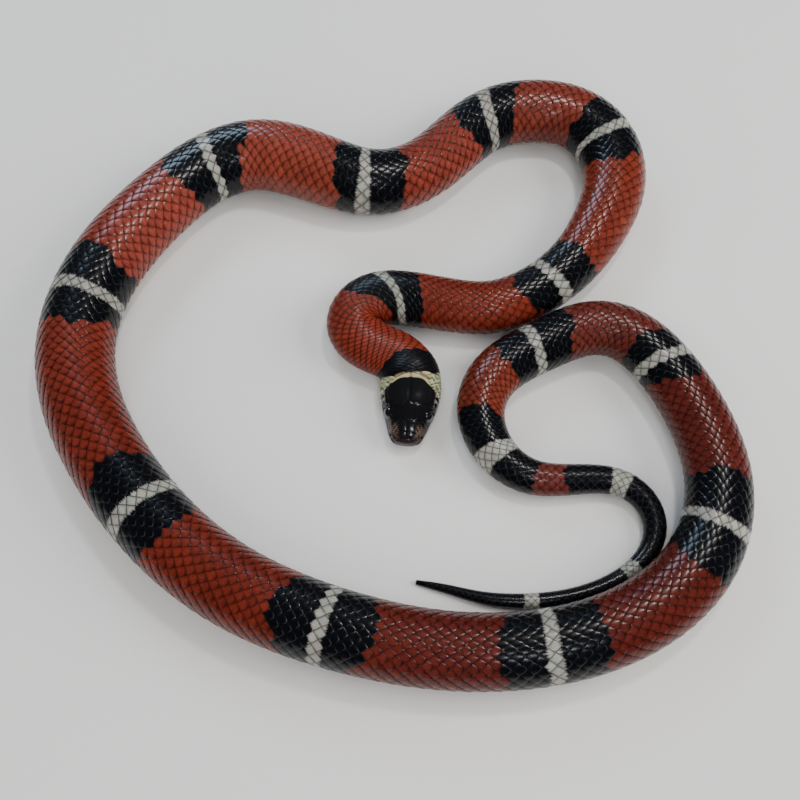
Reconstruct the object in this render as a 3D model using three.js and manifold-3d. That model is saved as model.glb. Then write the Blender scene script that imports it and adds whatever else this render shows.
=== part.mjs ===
// A milk snake at life size, lying in loose loops on a floor, as a still model.
// Millimetres, +Z up. The floor is z = 0 and the origin is the middle of the loops on the floor.
import * as THREE from "three";
import { mergeVertices } from "three/addons/utils/BufferGeometryUtils.js";
import Module from "manifold-3d";

// Driving sizes in mm. A place along the animal is its distance from the tip of the snout.
const GAP = 0.3;
const HEAD_END = 29;
const NECK_END = 78;
const VENT = 900;
const TAIL_MIDDLE = 966;
const BODY_CUTS = [NECK_END, 140, 228, 322, 425, 530, 632, 738, 826, VENT];

// Where the middle of the body runs on the floor, from the snout to the tip of the tail.
// Each span of it is measured in this many steps, and its bend over this reach to either side.
const SPAN_STEPS = 24;
const BEND_REACH = 2;
const ROUTE = [
  [7.7, -38.1], [8.7, -28], [9.6, -20], [9.9, -13], [7, -6.6], [1, -3.4], [-4.8, -1], [-9.4, 3.2],
  [-10.7, 9], [-8, 15], [-2, 18.5], [6, 18.5], [14, 17], [25, 14.5], [38, 13], [51, 18],
  [63, 26.5], [73, 37], [81, 50], [88, 65], [89, 82], [83, 96], [72, 104], [58, 105.5],
  [43, 102.5], [31, 92.5], [19, 78], [5, 68.5], [-11, 68], [-29, 76.5], [-49, 83.5], [-68, 76],
  [-83, 59], [-99, 35], [-107, 8], [-104, -18], [-91, -43], [-69, -70], [-41, -90.5], [-4, -102.5],
  [27, -107], [59, -104], [85, -93], [103, -75], [110, -51], [105, -27], [95.5, -7], [84, 5],
  [70, 6], [56, -1.5], [39, -10], [31, -25], [36, -42], [49, -51.5], [66, -49.5], [80, -50],
  [89, -61], [86, -74.5], [73, -84], [55, -89.5], [34, -89.5], [22, -85.5], [11, -83],
];

// Width of the body at places along it: [place, width].
const GIRTH = [
  [0, 17], [24, 21.2], [32, 19.3], [50, 19.6], [75, 20.4], [120, 19.4], [145, 19.8], [190, 23.8],
  [245, 25.4], [290, 24], [350, 28], [390, 26.6], [430, 27], [510, 25.6], [590, 24.6],
  [650, 22.8], [750, 21.4], [830, 19.8], [855, 18.6], [880, 17.4], [925, 11.2], [960, 8.2],
  [990, 5.6], [1025, 4.7], [1045, 2.9], [1056, 1.4],
];
const HEIGHT_SHARE = [[0, 0.66], [30, 0.7], [60, 0.76], [120, 0.84], [800, 0.87], [1056, 0.9]];

// The body's section is an ellipse that the floor cuts, so that it lies on a flat strip.
const SINK = 0.9;
const SIDES = 26;
const STEP = 6;
const SHORTEST_STEP = 2;
const STEP_PER_RADIUS = 0.24;
const INNER_ROOM = 0.9;

// The head: [place, half width, top, chin], then what lies on it.
const HEAD_LINES = [
  [0, 0, 5.4, 3.5], [0.12, 1.9, 5.8, 3.3], [0.45, 3.3, 6.4, 2.9], [1.2, 4.6, 7.1, 2.4],
  [2.5, 5.6, 7.9, 1.8], [5.2, 6.6, 9.1, 1.1], [8.8, 7.8, 10.3, 0.4], [13.7, 9.5, 11.5, 0],
  [17.5, 10.4, 12.1, 0], [21, 10.8, 12.6, 0], [24.5, 10.6, 13.1, 0], [HEAD_END, 10, 13.6, 0],
];
const MOUTH_LINE = [[0, 3.9], [3, 3.6], [9, 3.3], [14, 3.7], [18, 4.7], [22, 5.4], [HEAD_END, 5.8]];
const MOUTH_CORNER = 20;
const MOUTH_DEPTH = 0.6;
const LIP = 0.3;
const JAW_TUCK = 0.94;
const TOP_FLATNESS = 0.72;
const TOP_POWER = 2.2;
const JAW_POWER = 0.7;
const MOUTH_FADE = 4;
const HEAD_TO_BODY = [16, HEAD_END];
const HEAD_SIDES = 48;
const HEAD_ROWS = 38;
const ROWS_TO_SNOUT = 1.6;
const EYE = { place: 10.2, height: 7.1, radius: 2.2, out: 0.52 };
const BROW = { place: 10, length: 3, height: 9, depth: 0.9, out: 0.4 };
const CHEEK_DENT = { place: 6.2, length: 2.2, height: 6.6, depth: 1.5, out: -0.28 };
const TEMPLE = { place: 16.4, length: 4.5, height: 8, depth: 2.4, out: 0.3 };
const NOSTRIL = { place: 2.8, height: 5.7, radius: 0.5, out: 0.2 };
const EYE_FINENESS = [24, 16];
const NOSTRIL_FINENESS = [10, 6];

// Colours of the parts, as they show from a step away.
const RED_FRONT = 0x9c3a1c;
const RED_MIDDLE = 0x8a3325;
const RED_REAR = 0x7c2f2a;
const BLACK = 0x14151a;
const EYE_BLACK = 0x08080a;
const FRONT_SHARE = 0.4;
const MIDDLE_SHARE = 0.75;

const wasm = await Module();
wasm.setup();

function cubicBetween(table, column, place) {
  const last = table.length - 1;
  let i = 0;
  while (i < last - 1 && table[i + 1][0] < place) i += 1;
  const slope = (k) => {
    const a = table[Math.max(k - 1, 0)];
    const b = table[Math.min(k + 1, last)];
    return (b[column] - a[column]) / (b[0] - a[0]);
  };
  const [start, end] = [table[i], table[i + 1]];
  const span = end[0] - start[0];
  const t = Math.min(Math.max((place - start[0]) / span, 0), 1);
  const rest = 1 - t;
  return (
    start[column] * rest * rest * (1 + 2 * t) +
    end[column] * t * t * (3 - 2 * t) +
    span * t * rest * (slope(i) * rest - slope(i + 1) * t)
  );
}

// The route as a smooth cubic B-spline that is known by its length.
const routePoints = [];
{
  const first = ROUTE[0].map((v, k) => 2 * v - ROUTE[1][k]);
  const beyond = ROUTE.at(-1).map((v, k) => 2 * v - ROUTE.at(-2)[k]);
  const all = [first, ...ROUTE, beyond];
  let travelled = 0;
  for (let i = 0; i + 3 < all.length; i += 1) {
    for (let k = 0; k <= SPAN_STEPS; k += 1) {
      if (k === 0 && i > 0) continue;
      const t = k / SPAN_STEPS;
      const weights = [
        (1 - t) ** 3,
        3 * t ** 3 - 6 * t ** 2 + 4,
        -3 * t ** 3 + 3 * t ** 2 + 3 * t + 1,
        t ** 3,
      ];
      const slopes = [-((1 - t) ** 2), 3 * t ** 2 - 4 * t, -3 * t ** 2 + 2 * t + 1, t ** 2];
      const at = [0, 1].map((c) => weights.reduce((sum, w, j) => sum + (w * all[i + j][c]) / 6, 0));
      const to = [0, 1].map((c) => slopes.reduce((sum, w, j) => sum + w * all[i + j][c], 0));
      const before = routePoints.at(-1);
      if (before) travelled += Math.hypot(at[0] - before.x, at[1] - before.y);
      const size = Math.hypot(...to);
      routePoints.push({ place: travelled, x: at[0], y: at[1], dx: to[0] / size, dy: to[1] / size });
    }
  }
}
const LENGTH = routePoints.at(-1).place;

function routeAt(place) {
  let low = 0;
  let high = routePoints.length - 1;
  while (high - low > 1) {
    const middle = (low + high) >> 1;
    if (routePoints[middle].place <= place) low = middle;
    else high = middle;
  }
  const [a, b] = [routePoints[low], routePoints[high]];
  const t = (place - a.place) / (b.place - a.place);
  const mix = (key) => a[key] + (b[key] - a[key]) * t;
  const size = Math.hypot(mix("dx"), mix("dy"));
  return { x: mix("x"), y: mix("y"), dx: mix("dx") / size, dy: mix("dy") / size };
}

// How sharply the route turns to the animal's right at a place, as 1 / radius.
function turnAt(place) {
  const a = routeAt(Math.max(place - BEND_REACH, 0));
  const b = routeAt(Math.min(place + BEND_REACH, LENGTH));
  return (a.dx * b.dy - a.dy * b.dx) / (2 * BEND_REACH);
}

// A point beside the route, with side to the animal's right.
function beside(place, side, height) {
  const at = routeAt(place);
  return new THREE.Vector3(at.x - at.dy * side, at.y + at.dx * side, height);
}

// Points [side, height] of the body's outline, from one edge of the belly over the back to the other.
function bodyOutline(place, count) {
  const half = cubicBetween(GIRTH, 1, place) / 2;
  const height = 2 * half * cubicBetween(HEIGHT_SHARE, 1, place);
  const reach = height / (1 + SINK);
  const turn = turnAt(place);
  const innerHalf = Math.min(half, INNER_ROOM / Math.max(Math.abs(turn), 1e-6));
  const start = -Math.asin(SINK);
  const points = [];
  for (let j = 0; j < count; j += 1) {
    const angle = start + ((Math.PI - 2 * start) * j) / (count - 1);
    const side = Math.cos(angle);
    const inner = side * turn > 0;
    const onFloor = j === 0 || j === count - 1;
    points.push([side * (inner ? innerHalf : half), onFloor ? 0 : reach * (SINK + Math.sin(angle))]);
  }
  return points;
}

// Faces over rows of points that run the same way round, with flat ends.
function loft(rings) {
  const around = rings[0].length;
  const faces = [];
  for (let i = 0; i + 1 < rings.length; i += 1) {
    for (let j = 0; j < around; j += 1) {
      const k = (j + 1) % around;
      const [a, b, c, d] = [rings[i][j], rings[i][k], rings[i + 1][k], rings[i + 1][j]];
      faces.push([a, b, c], [a, c, d]);
    }
  }
  for (let j = 1; j + 1 < around; j += 1) {
    faces.push([rings[0][0], rings[0][j + 1], rings[0][j]]);
    faces.push([rings.at(-1)[0], rings.at(-1)[j], rings.at(-1)[j + 1]]);
  }
  return closedGeometry(faces);
}

// One closed surface from triangles, without the ones that have no area.
function closedGeometry(faces) {
  const corners = faces.flat().flatMap((p) => [p.x, p.y, p.z]);
  const loose = new THREE.BufferGeometry();
  loose.setAttribute("position", new THREE.Float32BufferAttribute(corners, 3));
  const merged = mergeVertices(loose, 1e-3);
  const index = [];
  for (let i = 0; i < merged.index.count; i += 3) {
    const [a, b, c] = [0, 1, 2].map((k) => merged.index.getX(i + k));
    if (a !== b && b !== c && c !== a) index.push(a, b, c);
  }
  merged.setIndex(index);
  return merged;
}

function placesBetween(start, end) {
  const places = [start];
  while (places.at(-1) < end) {
    const radius = 1 / Math.max(Math.abs(turnAt(places.at(-1))), 1e-6);
    const step = Math.min(Math.max(radius * STEP_PER_RADIUS, SHORTEST_STEP), STEP);
    places.push(places.at(-1) + step);
  }
  const stretch = (end - start) / (places.at(-1) - start);
  return places.map((place) => start + (place - start) * stretch);
}

function bodyLength(start, end) {
  const rings = placesBetween(start, end).map((place) =>
    bodyOutline(place, SIDES).map(([side, height]) => beside(place, side, height)),
  );
  return loft(rings);
}

// How far a soft bump or dent, centred at a place and height, moves the skin.
function swell(bump, place, height) {
  const along = (place - bump.place) / bump.length;
  const up = (height - bump.height) / bump.depth;
  return bump.out * Math.exp(-along * along - up * up);
}

function headSizes(place) {
  const [half, top, chin] = [1, 2, 3].map((column) => cubicBetween(HEAD_LINES, column, place));
  return { half, top, chin: Math.max(chin, 0), mouth: cubicBetween(MOUTH_LINE, 1, place) };
}

// How far the side of the head stands out above the lip at a height.
function headSide(place, height) {
  const { half, top, mouth } = headSizes(place);
  const rise = THREE.MathUtils.clamp((height - mouth - LIP) / (top - mouth - LIP), 0, 1);
  const side = half * (1 - rise ** TOP_POWER) ** (TOP_FLATNESS / 2);
  const bumps = [BROW, CHEEK_DENT, TEMPLE].reduce((sum, bump) => sum + swell(bump, place, height), 0);
  return side + bumps * Math.min(side / 2, 1);
}

// Points [side, height] of the head's outline, in the same order as the body's.
function headOutline(place) {
  const { half, top, chin, mouth } = headSizes(place);
  const groove = MOUTH_DEPTH * THREE.MathUtils.smoothstep(MOUTH_CORNER - place, 0, MOUTH_FADE);
  const quarter = (HEAD_SIDES - 6) / 4;
  const low = Math.asin(SINK);
  const points = [];
  for (let j = 0; j <= quarter; j += 1) {
    const angle = low * (1 - j / (quarter + 1));
    const side = half * JAW_TUCK * Math.cos(angle) ** JAW_POWER;
    points.push([side, mouth - LIP - ((mouth - LIP - chin) * Math.sin(angle)) / SINK]);
  }
  points.push([half * (1 + JAW_TUCK) / 2, mouth - LIP]);
  points.push([Math.max(half - groove, 0), mouth]);
  points.push([half, mouth + LIP]);
  for (let j = 1; j <= quarter; j += 1) {
    const rise = Math.sin(((Math.PI / 2) * j) / (quarter + 1));
    const height = mouth + LIP + (top - mouth - LIP) * rise;
    points.push([headSide(place, height), height]);
  }
  const mirrored = points.map(([side, height]) => [-side, height]).reverse();
  return [...points, [0, top], ...mirrored];
}

function headSolid() {
  const rings = [];
  for (let i = 0; i <= HEAD_ROWS; i += 1) {
    const place = HEAD_END * (i / HEAD_ROWS) ** ROWS_TO_SNOUT;
    const head = headOutline(place);
    const body = bodyOutline(place, head.length);
    const blend = THREE.MathUtils.smoothstep(place, ...HEAD_TO_BODY);
    const mixed = head.map((point, j) => point.map((v, k) => v + (body[j][k] - v) * blend));
    rings.push(mixed.map(([side, height]) => beside(place, side, height)));
  }
  return loft(rings);
}

function solidFrom(geometry) {
  const bare = geometry.clone();
  bare.deleteAttribute("normal");
  bare.deleteAttribute("uv");
  const merged = mergeVertices(bare, 1e-3);
  return new wasm.Manifold(
    new wasm.Mesh({
      numProp: 3,
      vertProperties: new Float32Array(merged.attributes.position.array),
      triVerts: new Uint32Array(merged.index.array),
    }),
  );
}

function geometryFrom(solid) {
  const mesh = solid.getMesh();
  const geometry = new THREE.BufferGeometry();
  geometry.setAttribute("position", new THREE.BufferAttribute(mesh.vertProperties, 3));
  geometry.setIndex(new THREE.BufferAttribute(mesh.triVerts, 1));
  return geometry;
}

function ball(radius, centre, fineness) {
  return new THREE.SphereGeometry(radius, ...fineness).translate(centre.x, centre.y, centre.z);
}

// The middle of a ball that stands out by its own measure from the right (1) or left (-1) of the head.
function inHeadSide(item, side) {
  const depth = headSide(item.place, item.height) + item.out - item.radius;
  return beside(item.place, side * depth, item.height);
}

function headWithOpenings() {
  let head = solidFrom(headSolid());
  for (const side of [-1, 1]) {
    const socket = ball(EYE.radius + GAP, inHeadSide(EYE, side), EYE_FINENESS);
    const nostril = ball(NOSTRIL.radius, inHeadSide(NOSTRIL, side), NOSTRIL_FINENESS);
    head = head.subtract(solidFrom(socket)).subtract(solidFrom(nostril));
  }
  return geometryFrom(head);
}

function finish(color, roughness) {
  return new THREE.MeshStandardMaterial({ color, roughness, metalness: 0 });
}

const snake = new THREE.Group();

function add(name, geometry, color, roughness) {
  const mesh = new THREE.Mesh(geometry, finish(color, roughness));
  mesh.name = name;
  snake.add(mesh);
}

const cut = GAP / 2;
add("head", headWithOpenings(), BLACK, 0.25);
add("eye_left", ball(EYE.radius, inHeadSide(EYE, -1), EYE_FINENESS), EYE_BLACK, 0.05);
add("eye_right", ball(EYE.radius, inHeadSide(EYE, 1), EYE_FINENESS), EYE_BLACK, 0.05);
add("neck", bodyLength(HEAD_END + GAP, NECK_END - cut), RED_FRONT, 0.35);
for (let i = 0; i + 1 < BODY_CUTS.length; i += 1) {
  const share = i / (BODY_CUTS.length - 2);
  const color = share < FRONT_SHARE ? RED_FRONT : share < MIDDLE_SHARE ? RED_MIDDLE : RED_REAR;
  add(`body_${i + 1}`, bodyLength(BODY_CUTS[i] + cut, BODY_CUTS[i + 1] - cut), color, 0.35);
}
add("tail_base", bodyLength(VENT + cut, TAIL_MIDDLE - cut), BLACK, 0.3);
add("tail_end", bodyLength(TAIL_MIDDLE + cut, LENGTH), BLACK, 0.3);

export default snake;
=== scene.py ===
"""A milk snake as a life-size still model: its skin, scales, plates and eyes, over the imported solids.

Lengths are in millimetres up to the last step, where the meshes are made in metres.
A place is the distance along the animal from the tip of its snout.
A girth is the share of the way down the flank: 0 on the spine, 1 where the side meets the floor
and 2 in the middle of the belly, above zero on the animal's right and below on its left.
"""

import math

import bpy
import numpy as np
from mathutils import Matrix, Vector


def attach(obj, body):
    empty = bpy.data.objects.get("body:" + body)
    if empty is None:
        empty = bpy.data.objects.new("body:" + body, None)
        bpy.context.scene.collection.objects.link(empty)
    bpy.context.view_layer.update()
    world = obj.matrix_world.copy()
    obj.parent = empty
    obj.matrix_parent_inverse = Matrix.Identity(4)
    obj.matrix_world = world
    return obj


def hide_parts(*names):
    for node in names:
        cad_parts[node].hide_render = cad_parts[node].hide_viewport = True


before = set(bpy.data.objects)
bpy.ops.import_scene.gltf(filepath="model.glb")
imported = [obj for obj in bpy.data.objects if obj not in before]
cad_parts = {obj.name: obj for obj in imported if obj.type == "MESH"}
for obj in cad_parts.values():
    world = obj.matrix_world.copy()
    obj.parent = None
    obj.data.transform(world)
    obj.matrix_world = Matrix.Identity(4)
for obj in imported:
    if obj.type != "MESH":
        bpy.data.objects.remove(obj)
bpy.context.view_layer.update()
rng = np.random.default_rng(41)
MM = 0.001

# The animal's own lines, as in the solids

# The route's corner points over the floor, from the snout to the tip of the tail.
ROUTE = [
    (7.7, -38.1), (8.7, -28), (9.6, -20), (9.9, -13), (7, -6.6), (1, -3.4), (-4.8, -1), (-9.4, 3.2),
    (-10.7, 9), (-8, 15), (-2, 18.5), (6, 18.5), (14, 17), (25, 14.5), (38, 13), (51, 18),
    (63, 26.5), (73, 37), (81, 50), (88, 65), (89, 82), (83, 96), (72, 104), (58, 105.5),
    (43, 102.5), (31, 92.5), (19, 78), (5, 68.5), (-11, 68), (-29, 76.5), (-49, 83.5), (-68, 76),
    (-83, 59), (-99, 35), (-107, 8), (-104, -18), (-91, -43), (-69, -70), (-41, -90.5), (-4, -102.5),
    (27, -107), (59, -104), (85, -93), (103, -75), (110, -51), (105, -27), (95.5, -7), (84, 5),
    (70, 6), (56, -1.5), (39, -10), (31, -25), (36, -42), (49, -51.5), (66, -49.5), (80, -50),
    (89, -61), (86, -74.5), (73, -84), (55, -89.5), (34, -89.5), (22, -85.5), (11, -83),
]
# The full width by place, and the height as a share of it.
GIRTH = [
    (0, 17), (24, 21.2), (32, 19.3), (50, 19.6), (75, 20.4), (120, 19.4), (145, 19.8), (190, 23.8),
    (245, 25.4), (290, 24), (350, 28), (390, 26.6), (430, 27), (510, 25.6), (590, 24.6),
    (650, 22.8), (750, 21.4), (830, 19.8), (855, 18.6), (880, 17.4), (925, 11.2), (960, 8.2),
    (990, 5.6), (1025, 4.7), (1045, 2.9), (1056, 1.4),
]
HEIGHT_SHARE = [(0, 0.66), (30, 0.7), (60, 0.76), (120, 0.84), (800, 0.87), (1056, 0.9)]
SINK = 0.9
INNER_ROOM = 0.9
HEAD_END = 29
# The head by place: its half width, and the heights of its top and of its chin.
HEAD_LINES = [
    (0, 0, 5.4, 3.5), (0.12, 1.9, 5.8, 3.3), (0.45, 3.3, 6.4, 2.9), (1.2, 4.6, 7.1, 2.4),
    (2.5, 5.6, 7.9, 1.8), (5.2, 6.6, 9.1, 1.1), (8.8, 7.8, 10.3, 0.4), (13.7, 9.5, 11.5, 0),
    (17.5, 10.4, 12.1, 0), (21, 10.8, 12.6, 0), (24.5, 10.6, 13.1, 0), (HEAD_END, 10, 13.6, 0),
]
MOUTH_LINE = [(0, 3.9), (3, 3.6), (9, 3.3), (14, 3.7), (18, 4.7), (22, 5.4), (HEAD_END, 5.8)]
MOUTH_CORNER = 20
MOUTH_DEPTH = 0.6
LIP = 0.3
JAW_TUCK = 0.94
TOP_FLATNESS = 0.72
HEAD_TO_BODY = (16, HEAD_END)
EYE = dict(place=10.2, height=7.1, radius=2.2, out=0.52)
BROW = dict(place=10, length=3, height=9, depth=0.9, out=0.4)
CHEEK_DENT = dict(place=6.2, length=2.2, height=6.6, depth=1.5, out=-0.28)
TEMPLE = dict(place=16.4, length=4.5, height=8, depth=2.4, out=0.3)
NOSTRIL = dict(place=2.8, height=5.7, radius=0.5, out=0.2)
THROAT, MIDDLE, VENT = 25, 425, 900

# The markings

# Each red band's start and end, how far it spreads back on the right and on the left flank,
# and how far on.
RED_BANDS = [
    (32, 62.8, 0, 0, 0, 16), (84.7, 117.7, 0, 2, 13, 9), (149.2, 191.2, 4, 8, 4, 8),
    (220.2, 248.7, 4, 4, 5, 6), (277.5, 303.4, 15, 3, 10, 7), (331.5, 365.7, 9, 2, 12, 6),
    (400, 438.2, 11, 10, 5, 4), (470.2, 523.6, 11, 7, 8, 14), (557.2, 593.7, 8, 11, 9, 12),
    (625.8, 660.2, 8, 11, 7, 7), (693.2, 726.2, 8, 8, 8, 8), (762.2, 794.7, 6, 6, 8, 8),
    (817.2, 843.7, 6, 6, 4, 4), (871.5, 890.2, 3, 3, 6, 4), (919.8, 929, -10, 0, 2, 2),
]
WHITE_RINGS = [
    74.4, 132.8, 205.8, 262.1, 319.3, 381.9, 454.8, 541.4, 609.8, 676.1, 744.2, 805.5, 858.6,
    906.2, 947.9, 984.7, 1018,
]


def smoothstep(x, low, high):
    t = np.clip((np.asarray(x, float) - low) / (high - low), 0, 1)
    return t * t * (3 - 2 * t)


def bell(x, width):
    """1 at zero, falling away smoothly on both sides."""
    return np.exp(-((x / width) ** 2))


def mixed(tone, other, share):
    """A tone, taken a share of the way to another one."""
    return tone + (other - tone) * np.asarray(share)[..., None]


def unit(vectors):
    return vectors / np.maximum(np.linalg.norm(vectors, axis=-1, keepdims=True), 1e-9)


def faces_of(index, closed=True):
    """The four-sided faces of a grid of point numbers, whose rows close on themselves or not."""
    if closed:
        index = np.hstack([index, index[:, :1]])
    corners = (index[:-1, :-1], index[:-1, 1:], index[1:, 1:], index[1:, :-1])
    return np.stack(corners, -1).reshape(-1, 4)


# The order of a face's corners that turns the face over.
FLIPPED = [0, 3, 2, 1]


def straight_line(table, x):
    """A table of (x, value), read off with straight lines between its rows."""
    return np.interp(x, *np.array(table, float).T)


def smooth_line(table, column=1):
    """A table of (place, value...) as a smooth function of the place."""
    x = np.array([row[0] for row in table], float)
    y = np.array([row[column] for row in table], float)
    k = np.arange(len(x))
    before, after = np.maximum(k - 1, 0), np.minimum(k + 1, len(x) - 1)
    slope = (y[after] - y[before]) / (x[after] - x[before])

    def value(place):
        place = np.asarray(place, float)
        i = np.clip(np.searchsorted(x, place, side="right") - 1, 0, len(x) - 2)
        span = x[i + 1] - x[i]
        t = np.clip((place - x[i]) / span, 0, 1)
        r = 1 - t
        return (
            y[i] * r * r * (1 + 2 * t)
            + y[i + 1] * t * t * (3 - 2 * t)
            + span * t * r * (slope[i] * r - slope[i + 1] * t)
        )

    return value


def spline_route(steps=24):
    """The route's points as (place, x, y, dx, dy)."""
    points = np.array(ROUTE, float)
    points = np.vstack([2 * points[0] - points[1], points, 2 * points[-1] - points[-2]])
    t = np.arange(steps + 1) / steps
    weights = [(1 - t) ** 3, 3 * t**3 - 6 * t**2 + 4, -3 * t**3 + 3 * t**2 + 3 * t + 1, t**3]
    weights = np.stack(weights, 1) / 6
    slopes = np.stack([-((1 - t) ** 2), 3 * t**2 - 4 * t, -3 * t**2 + 2 * t + 1, t**2], 1)
    at, to = [], []
    for i in range(len(points) - 3):
        first = 0 if i == 0 else 1
        at.append((weights @ points[i : i + 4])[first:])
        to.append((slopes @ points[i : i + 4])[first:])
    at, to = np.vstack(at), np.vstack(to)
    place = np.r_[0, np.cumsum(np.hypot(*np.diff(at, axis=0).T))]
    to /= np.hypot(*to.T)[:, None]
    return np.column_stack([place, at, to])


WAY = spline_route()
LENGTH = WAY[-1, 0]
girth_line = smooth_line(GIRTH)
height_share = smooth_line(HEIGHT_SHARE)
head_half, head_top, head_chin = (smooth_line(HEAD_LINES, c) for c in (1, 2, 3))
mouth_line = smooth_line(MOUTH_LINE)


def route(place):
    x, y, dx, dy = (np.interp(place, WAY[:, 0], WAY[:, c]) for c in (1, 2, 3, 4))
    size = np.hypot(dx, dy)
    return x, y, dx / size, dy / size


def aside(place, side, height):
    """Points beside the route, to the animal's right, at a height."""
    x, y, dx, dy = route(place)
    return np.stack([x - dy * side, y + dx * side, height], -1)


def turn(place, reach=2.0):
    """How sharply the route turns to the left of its run from snout to tail, as 1 / radius."""
    _, _, ax, ay = route(np.maximum(place - reach, 0))
    _, _, bx, by = route(np.minimum(place + reach, LENGTH))
    return (ax * by - ay * bx) / (2 * reach)


def swell(bump, place, height):
    """How far a bump of the head stands out at a spot."""
    along = (place - bump["place"]) / bump["length"]
    up = (height - bump["height"]) / bump["depth"]
    return bump["out"] * np.exp(-along * along - up * up)


def head_side(place, height):
    """How far the side of the head stands out above the lip at a height."""
    half, top, mouth = head_half(place), head_top(place), mouth_line(place)
    rise = np.clip((height - mouth - LIP) / (top - mouth - LIP), 0, 1)
    side = half * (1 - rise**2.2) ** (TOP_FLATNESS / 2)
    bumps = sum(swell(bump, place, height) for bump in (BROW, CHEEK_DENT, TEMPLE))
    return side + bumps * np.minimum(side / 2, 1)


# The counts round a half outline: the jaw's top, the mouth's groove and the top of the head.
JAW_TOP, LIP_LOW, LIP_IN, LIP_HIGH, RING_TOP = 10, 11, 12, 13, 24
QUARTER = 11.5
JAW_ROUND = 0.7
GROOVE_FADE = 4


def head_ring(place, count):
    """(side, height) of the head's half outline at each count, from 0 at the belly's edge to the top."""
    place, count = np.broadcast_arrays(np.asarray(place, float), np.asarray(count, float))
    half, top, mouth = head_half(place), head_top(place), mouth_line(place)
    chin = np.maximum(head_chin(place), 0)
    groove = MOUTH_DEPTH * smoothstep(MOUTH_CORNER - place, 0, GROOVE_FADE)
    jaw, deep = half * (1 + JAW_TUCK) / 2, np.maximum(half - groove, 0)
    low = math.asin(SINK)
    angle = low * (1 - np.minimum(count, JAW_TOP) / QUARTER)
    side = half * JAW_TUCK * np.cos(angle) ** JAW_ROUND
    height = mouth - LIP - (mouth - LIP - chin) * np.sin(angle) / SINK
    for start, s0, z0, s1, z1 in (
        (JAW_TOP, side, height, jaw, mouth - LIP),
        (LIP_LOW, jaw, mouth - LIP, deep, mouth),
        (LIP_IN, deep, mouth, half, mouth + LIP),
    ):
        t = np.clip(count - start, 0, 1)
        here = (count > start) & (count <= start + 1)
        side = np.where(here, s0 + (s1 - s0) * t, side)
        height = np.where(here, z0 + (z1 - z0) * t, height)
    rise = np.sin(math.pi / 2 * np.clip((count - LIP_HIGH) / (RING_TOP - LIP_HIGH), 0, 1))
    upper = mouth + LIP + (top - mouth - LIP) * rise
    above = count > LIP_HIGH
    side = np.where(above, head_side(place, upper), side)
    height = np.where(above, upper, height)
    return side, height


def body_ring(place, angle, right):
    """(side, height) of the body at an angle above its widest line, right +1 or -1."""
    half = girth_line(place) / 2
    reach = 2 * half * height_share(place) / (1 + SINK)
    bend = turn(place)
    inner = np.minimum(half, INNER_ROOM / np.maximum(np.abs(bend), 1e-6))
    width = np.where(right * bend > 0, inner, half)
    return width * np.cos(angle), reach * (SINK + np.sin(angle))


def outline(place, count, right):
    """(side, height) at the counts of a half outline, where the head's form passes into the body's."""
    low = math.asin(SINK)
    side, height = body_ring(place, -low + (math.pi + 2 * low) * count / (2 * RING_TOP), right)
    if np.min(place) < HEAD_END:
        blend = smoothstep(place, *HEAD_TO_BODY)
        on_side, on_height = head_ring(place, count)
        side = on_side + (side - on_side) * blend
        height = on_height + (height - on_height) * blend
    return side, height


# Every outline from the spine to the belly's edge, known by its girth.
COLUMNS = 97
FINE_COUNTS = 241
PLACES = np.r_[np.arange(0, HEAD_END, 0.25), np.arange(HEAD_END, LENGTH, 1.0), LENGTH]


def outline_table():
    """For each flank all sides and heights, and by place the way from the spine to the belly's edge."""
    table, runs = {}, np.zeros(len(PLACES))
    shares = np.linspace(0, 1, COLUMNS)
    count = np.linspace(RING_TOP, 0, FINE_COUNTS)
    for right in (1, -1):
        sides = np.zeros((len(PLACES), COLUMNS))
        heights = np.zeros_like(sides)
        for i, place in enumerate(PLACES):
            side, height = outline(place, count, right)
            run = np.r_[0, np.cumsum(np.hypot(np.diff(side), np.diff(height)))]
            sides[i] = np.interp(shares * run[-1], run, side)
            heights[i] = np.interp(shares * run[-1], run, height)
            runs[i] += run[-1] / 2
        table[right] = (sides, heights)
    return table, runs


OUTLINES, SIDE_RUNS = outline_table()


def look_up(grid, row, column):
    """A grid's value between its rows and columns."""
    i = np.clip(np.floor(row).astype(int), 0, grid.shape[0] - 2)
    j = np.clip(np.floor(column).astype(int), 0, grid.shape[1] - 2)
    a, b = row - i, column - j
    return (
        grid[i, j] * (1 - a) * (1 - b)
        + grid[i + 1, j] * a * (1 - b)
        + grid[i, j + 1] * (1 - a) * b
        + grid[i + 1, j + 1] * a * b
    )


def on_skin(place, girth):
    """Points on the solids' surface."""
    place, girth = np.broadcast_arrays(np.asarray(place, float), np.asarray(girth, float))
    place = np.clip(place, 0, LENGTH)
    girth = (girth + 2) % 4 - 2
    row = np.interp(place, PLACES, np.arange(len(PLACES)))
    column = np.minimum(np.abs(girth), 1) * (COLUMNS - 1)
    right = girth >= 0
    side, height = (
        np.where(right, look_up(OUTLINES[1][k], row, column), look_up(OUTLINES[-1][k], row, column))
        for k in (0, 1)
    )
    side = side * np.minimum(2 - np.abs(girth), 1) * np.where(right, 1, -1)
    return aside(place, side, height)


def outward(place, girth, along=0.6, around=0.03):
    """The surface's direction out of the body."""
    behind, before = np.minimum(place + along, LENGTH), np.maximum(place - along, 0)
    back = on_skin(behind, girth) - on_skin(before, girth)
    up = on_skin(place, girth - around) - on_skin(place, girth + around)
    return unit(np.cross(up, back))


def raised(place, girth, height):
    """Points at a height over the solids' surface, mostly below zero so that they stay inside."""
    return on_skin(place, girth) + outward(place, girth) * np.asarray(height)[..., None]


# The rows of scales

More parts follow.
